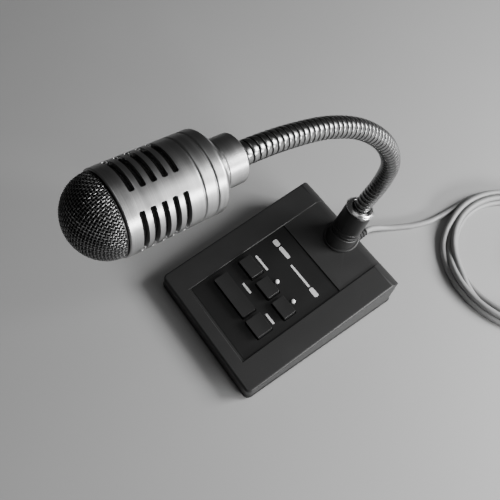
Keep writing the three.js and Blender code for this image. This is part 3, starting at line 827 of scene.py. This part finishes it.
def makeUnderside():
    say = undersideSettings
    low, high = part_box("base_plate")
    middle = (low + high) / 2
    plate = loose(block(tuple(high - low), tuple(middle), 1.8 * mm, 5, True), "bottom_plate")
    cuts = bmesh.new()
    screws = [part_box("base_screw_%d" % number) for number in (1, 2, 3, 4)]
    for lowCorner, highCorner in screws:
        centre = (lowCorner + highCorner) / 2
        part = spun(say["counterbore"], steps=40)
        bmesh.ops.translate(part, vec=(centre.x, centre.y, 0), verts=part.verts)
        pour(part, cuts)
    combine(plate, loose(cuts, "cuts"), "DIFFERENCE")
    roundEdges(plate, 0.3 * mm, 2, 35)
    dress(plate, "shell", "base", ("base_plate",), 30)
    for number, (lowCorner, highCorner) in enumerate(screws, 1):
        centre = (lowCorner + highCorner) / 2
        screw = loose(spun(softened(say["screw"], 0.15, False), steps=48), "screw")
        for quarter in (0, 90):
            turn = math.radians(say["firstTurnDeg"] + say["turnDeg"] * number + quarter)
            bar = block(say["cross"], (0, 0, say["crossHeight"]))
            combine(screw, loose(bar, "bar", Matrix.Rotation(turn, 4, "Z")), "DIFFERENCE")
        screw.data.transform(Matrix.Translation((centre.x, centre.y, 0)))
        screw.name = "cross_screw_%d" % number
        dress(screw, "steel", "base", ("base_screw_%d" % number,), 30)
    for number in (1, 2, 3, 4):
        lowCorner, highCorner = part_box("foot_%d" % number)
        centre = (lowCorner + highCorner) / 2
        bm = spun(softened(say["foot"], 0.3, False), steps=64)
        bmesh.ops.translate(bm, vec=(centre.x, centre.y, 0), verts=bm.verts)
        keep(bm, "rubber_foot_%d" % number, "rubber", "base", ("foot_%d" % number,), 40)


makeUnderside()
print("underside made")


stemSettings = {"nutTop": 28, "ridgePitch": 3.6, "wireRadius": 5.75, "wireHalf": 1.6,
                "wireDeep": 0.6, "core": 4.85, "coreGap": 0.4}


def makeStemFoot():
    low, top = baseSettings["bossTop"] / mm + 0.3, stemSettings["nutTop"]
    nut = [(6.6, low), (10.4, low), (10.4, low + 1.7), (10.05, low + 2.2), (9.95, low + 4.5),
           (9.75, low + 4.7), (9.75, low + 5.1), (9.95, low + 5.3), (9.75, top - 1), (9.2, top), (6.6, top)]
    keep(spun(softened(nut, 0.35), True, 128), "stem_nut", "nut", "base", ("neck_nut",), 40, stemFrame)
    ring = [(6.1, top + 0.3), (9.6, top + 0.3), (10.2, top + 0.8), (10.2, top + 1.5), (8.6, top + 3.0),
            (6.1, top + 3.1)]
    keep(spun(softened(ring, 1.1, steps=8), True, 128), "polished_ring", "ringMetal", "neck_foot",
         ("nut_ring",), 50, stemFrame)


makeStemFoot()


def smoothLine(points, steps):
    # A smooth line through the points, as many short steps between each pair
    ends = [points[0] * 2 - points[1]] + points + [points[-1] * 2 - points[-2]]
    made = []
    for a, b, c, d in zip(ends, ends[1:], ends[2:], ends[3:]):
        for step in range(steps):
            t = step / steps
            made.append((b * 2 + (c - a) * t + (a * 2 - b * 5 + c * 4 - d) * t * t
                         + (b * 3 - a - c * 3 + d) * t ** 3) / 2)
    return made + [points[-1]]


def carriedFrames(line):
    # Place, side and up along the line, carried without twist
    frames = []
    side = Vector((1, 0, 0))
    for place, point in enumerate(line):
        ahead = (line[min(place + 1, len(line) - 1)] - line[max(place - 1, 0)]).normalized()
        side = (side - ahead * side.dot(ahead)).normalized()
        frames.append((point, side, ahead.cross(side)))
    return frames


hinges = [Vector(joints["neck_bend_%d" % number]["pos_m"]) for number in range(1, 9)]
stemStart = stemFrame @ Vector((0, 0, 4 * mm))
headEnd = headFrame @ Vector((0, 0, 27 * mm))
neckLine = smoothLine([stemStart] + hinges + [headEnd], 40)
neckFrames = carriedFrames(neckLine)
neckReach = [0.0]
for a, b in zip(neckLine, neckLine[1:]):
    neckReach.append(neckReach[-1] + (b - a).length)


def alongNeck(reach):
    # Interpolated frame at a distance along the neck
    low, high = 0, len(neckReach) - 2
    while low < high:
        place = (low + high + 1) // 2
        if neckReach[place] <= reach:
            low = place
        else:
            high = place - 1
    share = (reach - neckReach[low]) / (neckReach[low + 1] - neckReach[low])
    return [a.lerp(b, share) for a, b in zip(neckFrames[low], neckFrames[low + 1])]


def makeNeckPiece(body, start, end, replaces):
    # One stretch of the wound tube: a wire wound about a core, bent along the neck; the core and valleys take
    # the darkest colour as painted shade
    say = stemSettings
    pitch = say["ridgePitch"] * mm
    turns = (end - start) / pitch
    wire = bmesh.new()
    middle = (say["wireRadius"] - say["wireDeep"]) * mm
    ring = []
    for side in range(16):
        a = (side + 0.5) * math.pi / 8
        across = math.copysign(abs(math.cos(a)) ** 0.6, math.cos(a))
        along = math.copysign(abs(math.sin(a)) ** 0.75, math.sin(a))
        ring.append(wire.verts.new((middle + say["wireDeep"] * mm * across, 0, say["wireHalf"] * mm * along)))
    cap = wire.faces.new(ring)
    stepsPerTurn = 32
    steps = max(8, round(turns * stepsPerTurn))
    bmesh.ops.rotate(wire, verts=wire.verts, cent=(0, 0, 0),
                     matrix=Matrix.Rotation(start / pitch * 2 * math.pi, 3, "Z"))
    bmesh.ops.spin(wire, geom=[cap], cent=(0, 0, 0), axis=(0, 0, 1), dvec=(0, 0, (end - start) / steps),
                   angle=turns * 2 * math.pi, steps=steps, use_merge=False, use_duplicate=False)
    bmesh.ops.translate(wire, vec=(0, 0, start), verts=wire.verts)
    coreSteps = max(2, round((end - start) / (3 * mm)))
    coreFrom, coreTo = start / mm + say["coreGap"], end / mm - say["coreGap"]
    core = [(0, coreFrom)] + [(say["core"], coreFrom + (coreTo - coreFrom) * step / coreSteps)
                              for step in range(coreSteps + 1)] + [(0, coreTo)]
    pour(spun(core, steps=24), wire)
    # crest runs from 0 on the core to 1 on the wire's outer face: low values are painted as shade, high
    # values as a painted highlight
    crest = wire.verts.layers.float.new("crest")
    for vert in wire.verts:
        out = math.hypot(vert.co.x, vert.co.y) / mm
        vert[crest] = (out - say["core"]) / (say["wireRadius"] - say["core"])
        place, side, up = alongNeck(vert.co.z)
        vert.co = place + side * vert.co.x + up * vert.co.y
    bmesh.ops.recalc_face_normals(wire, faces=wire.faces)
    return dress(poured(wire, "wound_" + body), "wire", body, replaces, 60)


def reachOf(point):
    # Distance along the neck of the line's nearest place to a point
    nearest = min(range(len(neckLine)), key=lambda place: (neckLine[place] - point).length)
    return neckReach[nearest]


def makeNeck():
    bodies = ["neck_foot"] + ["link_%d" % number for number in range(1, 8)] + ["head"]
    places = [reachOf(hinge) for hinge in hinges]
    first = reachOf(stemFrame @ Vector((0, 0, 27.4 * mm)))
    last = reachOf(headFrame @ Vector((0, 0, 8.6 * mm)))
    cuts = [first] + places + [last]
    for number, (body, start, end) in enumerate(zip(bodies, cuts, cuts[1:])):
        hidden = ("neck_sleeve",) if number == 0 else ("neck_link_%d" % number,) if number < 8 else ()
        makeNeckPiece(body, start, end, hidden)


makeNeck()
print("neck made")


headSettings = {
    "from": 23.3, "to": 71.3, "radius": 18.5, "shoulder": 2.7, "lining": 16.2, "grooves": (31.1, 37.2),
    "collarFrom": 9.4, "collarRadius": 11.3, "firstSlot": 45.3, "pitch": 4.77, "slotWidth": 2.5, "rows": 5,
    "groups": 4, "arcDeg": 65.5, "turnDeg": 33, "meshPitch": 1.38, "wire": 0.26, "domeRadius": 17.3,
    "domeRise": 16.0,
}


def makeCollar():
    say = headSettings
    start, end, r = say["collarFrom"], say["from"] - 0.3, say["collarRadius"]
    ferrule = [(1.6, start - 0.4), (6.2, start - 0.4), (6.2, say["from"] + 1.9), (1.6, say["from"] + 1.9)]
    keep(spun(softened(ferrule, 0.3), True, 64), "collar_ferrule", "chrome", "head",
         ("neck_ferrule",), 40, headFrame)
    collar = [(6.6, start), (r - 0.8, start), (r, start + 0.8), (r, end - 3.4), (r - 0.35, end - 3.1),
              (r - 0.35, end - 2.7), (r, end - 2.4), (r, end), (6.6, end)]
    keep(spun(softened(collar, 0.3), True, 144), "stepped_collar", "silver", "head", ("head_collar",),
         40, headFrame)


def makeHeadBody():
    say = headSettings
    start, end, r = say["from"], say["to"], say["radius"]
    profile = [(6.6, start), (15.2, start), (15.8, start + 0.4), (r - 0.2, start + say["shoulder"]),
               (r, start + say["shoulder"] + 0.7)]
    for groove in say["grooves"]:
        profile += [(r, groove - 0.6), (r - 0.55, groove - 0.2), (r - 0.55, groove + 0.2), (r, groove + 0.6)]
    profile += [(r, end - 0.5), (r - 0.4, end), (say["lining"], end), (say["lining"], start + 5),
                (6.6, start + 3)]
    body = loose(spun(softened(profile, 0.25), True, 144), "head_shell")
    cutters = bmesh.new()
    for group in range(say["groups"]):
        middle = math.radians(90 - say["turnDeg"] + 45 + 90 * group)
        for row in range(say["rows"]):
            pour(slotCutter(say["firstSlot"] + row * say["pitch"], middle), cutters)
    combine(body, loose(cutters, "slots"), "DIFFERENCE")
    roundEdges(body, 0.2 * mm, 2, 42)
    body.data.transform(headFrame)
    return dress(body, "silver", "head", ("head_body",), 32)


def slotCutter(height, middle):
    # A sector of a ring with its four end corners rounded
    say = headSettings
    half = say["slotWidth"] / 2
    low, high = (height - half) * mm, (height + half) * mm
    inner, outer = (say["radius"] - 4) * mm, (say["radius"] + 2) * mm
    bm = bmesh.new()
    corners = ((inner, 0, low), (outer, 0, low), (outer, 0, high), (inner, 0, high))
    face = bm.faces.new([bm.verts.new(corner) for corner in corners])
    arc = math.radians(say["arcDeg"])
    bmesh.ops.rotate(bm, verts=bm.verts, cent=(0, 0, 0), matrix=Matrix.Rotation(middle - arc / 2, 3, "Z"))
    bmesh.ops.spin(bm, geom=[face], cent=(0, 0, 0), axis=(0, 0, 1), angle=arc, steps=24, use_merge=False,
                   use_duplicate=False)
    bmesh.ops.recalc_face_normals(bm, faces=bm.faces)
    ends = []
    for edge in bm.edges:
        radii = sorted(math.hypot(vert.co.x, vert.co.y) for vert in edge.verts)
        sharp = len(edge.link_faces) == 2 and edge.calc_face_angle(0) > 1.2
        if radii[1] - radii[0] > 4 * mm and sharp:
            ends.append(edge)
    bmesh.ops.bevel(bm, geom=ends, offset=0.9 * mm, offset_type="OFFSET", affect="EDGES", segments=5,
                    profile=0.5, material=-1, clamp_overlap=True)
    return bm


def domePoint(across, upward, lift):
    # Flat cloth places pressed over the dome
    say = headSettings
    reach = math.hypot(across, upward)
    whole = say["domeRadius"] * math.pi / 2
    angle = math.pi / 2 - reach / whole * math.pi / 2
    heading = math.atan2(upward, across)
    radius, rise = say["domeRadius"] + lift, say["domeRise"] + lift
    out = radius * math.cos(angle)
    return Vector((out * math.cos(heading), out * math.sin(heading),
                   say["to"] + 0.3 + rise * math.sin(angle))) * mm


def makeMeshDome():
    # Plain weave: every wire goes over one crossing and under the next
    say = headSettings
    curve = bpy.data.curves.new("weave", "CURVE")
    curve.dimensions = "3D"
    curve.bevel_depth = say["wire"] * mm
    curve.bevel_resolution = 1
    whole = say["domeRadius"] * math.pi / 2
    pitch = say["meshPitch"]
    lines = int(whole / pitch)
    for direction in (0, 1):
        for line in range(-lines, lines + 1):
            fixed = (line + 0.001) * pitch  # never quite through the pole
            half = math.sqrt(max(0, whole ** 2 - fixed ** 2))
            count = int(half / (pitch / 2))
            points = []
            for step in range(-count, count + 1):
                run = step * pitch / 2
                wave = math.cos(run / pitch * math.pi) * (1 if (line + direction) % 2 else -1)
                across, upward = (run, fixed) if direction else (fixed, run)
                points.append(domePoint(across, upward, wave * say["wire"] * 0.85))
            if len(points) < 3:
                continue
            spline = curve.splines.new("POLY")
            spline.points.add(len(points) - 1)
            for knot, point in zip(spline.points, points):
                knot.co = (*point, 1)
    weave = linked("weave", curve)
    graph = bpy.context.evaluated_depsgraph_get()
    mesh = bpy.data.meshes.new_from_object(weave.evaluated_get(graph))
    bpy.data.objects.remove(weave)
    bm = bmesh.new()
    bm.from_mesh(mesh)
    # crest is higher on the outer knuckles: wovenWire paints these paler as a painted highlight and the inner
    # runs darker as painted shade
    crest = bm.verts.layers.float.new("crest")
    for vert in bm.verts:
        flat = Vector((vert.co.x, vert.co.y, (vert.co.z / mm - say["to"] - 0.3) * mm
                       * say["domeRadius"] / say["domeRise"]))
        vert[crest] = 0.5 + (flat.length / mm - say["domeRadius"]) / (4 * say["wire"])
    edge, r = say["to"] + 0.3, say["domeRadius"]
    rim = spun(softened([(r - 0.7, edge), (r + 0.35, edge), (r + 0.35, edge + 0.6), (r, edge + 1.2),
                         (r - 0.6, edge + 1.1)], 0.2), True, 96)
    pour(rim, bm)
    bmesh.ops.transform(bm, matrix=headFrame, verts=bm.verts)
    return dress(poured(bm, "woven_dome"), "mesh", "head", ("mesh_dome",), 50)


def makeFoam():
    say = headSettings
    foot, r, rise = say["to"] + 0.3, say["domeRadius"] - 0.9, say["domeRise"] - 0.9
    arc = [(r * math.cos(turn), foot + rise * math.sin(turn))
           for turn in (step * math.pi / 40 for step in range(21))]
    bm = spun([(0, foot)] + arc[:-1] + [(0, foot + rise)], steps=72)
    foam = keep(bm, "foam_screen", "foam", "head", ("wind_foam",), 50, headFrame)
    r = say["lining"] - 0.3
    low, high = say["from"] + 6, say["to"] - 1.5
    liner = [(r - 0.5, low), (r, low), (r, high), (r - 0.5, high)]
    keep(spun(liner, True, 96), "black_liner", "foam", "head", ("slot_liner",), 50, headFrame)


makeCollar()
makeHeadBody()
makeMeshDome()
makeFoam()
print("head made")


carried = {
    "ballast_plate": "iron", "circuit_board": "board", "neck_socket": "steel", "lock_washer": "steel",
    "lock_nut": "steel", "capsule_mount": "rubber", "capsule": "steel",
    "key_switch_1": "inner", "key_switch_2": "inner", "key_switch_3": "inner", "key_switch_4": "inner",
    "key_switch_5": "inner",
}
for node, finish in carried.items():
    thing = frame["nodes"][node]
    thing.data.materials.clear()
    thing.data.materials.append(finishes[finish])


# Each light is its place, what it points at, its size and its power
lightSettings = {
    "window": ((0.42, 0.66, 0.50), (0, 0, 0.1), (0.34, 0.34), 15),
    "side": ((0.85, 0.32, 0.30), (0, 0, 0.03), (0.60, 0.12), 13),
    "overhead": ((0.1, 0.0, 1.2), (0, 0, 0.1), (0.6, 0.6), 1.5),
}
stageSettings = {"dark": 0.30, "pale": 0.33, "size": 4, "skyGrey": 0.5, "skyStrength": 0.09}


def makeStage():
    say = stageSettings
    recipe = Recipe("paleFloor")
    clouds = recipe.noise(recipe.place(), 6, 3)
    recipe.set(Base_Color=recipe.mix(clouds, grey(say["dark"]), grey(say["pale"])),
               Roughness=0.55 + clouds * 0.1)
    bm = bmesh.new()
    bmesh.ops.create_grid(bm, x_segments=1, y_segments=1, size=say["size"])
    floor = poured(bm, "floor")
    floor.data.materials.append(recipe.material)
    world = bpy.data.worlds.new("studio")
    world.use_nodes = True
    sky = world.node_tree.nodes["Background"]
    sky.inputs["Color"].default_value = grey(say["skyGrey"])
    sky.inputs["Strength"].default_value = say["skyStrength"]
    bpy.context.scene.world = world


def makeLight(name, place, target, size, power):
    data = bpy.data.lights.new(name, "AREA")
    data.shape = "RECTANGLE"
    data.size, data.size_y = size
    data.energy = power
    light = linked(name, data)
    light.location = place
    light.rotation_euler = (Vector(target) - Vector(place)).to_track_quat("-Z", "Y").to_euler()


makeStage()
for name, (place, target, size, power) in lightSettings.items():
    makeLight(name, place, target, size, power)
print("stage made")
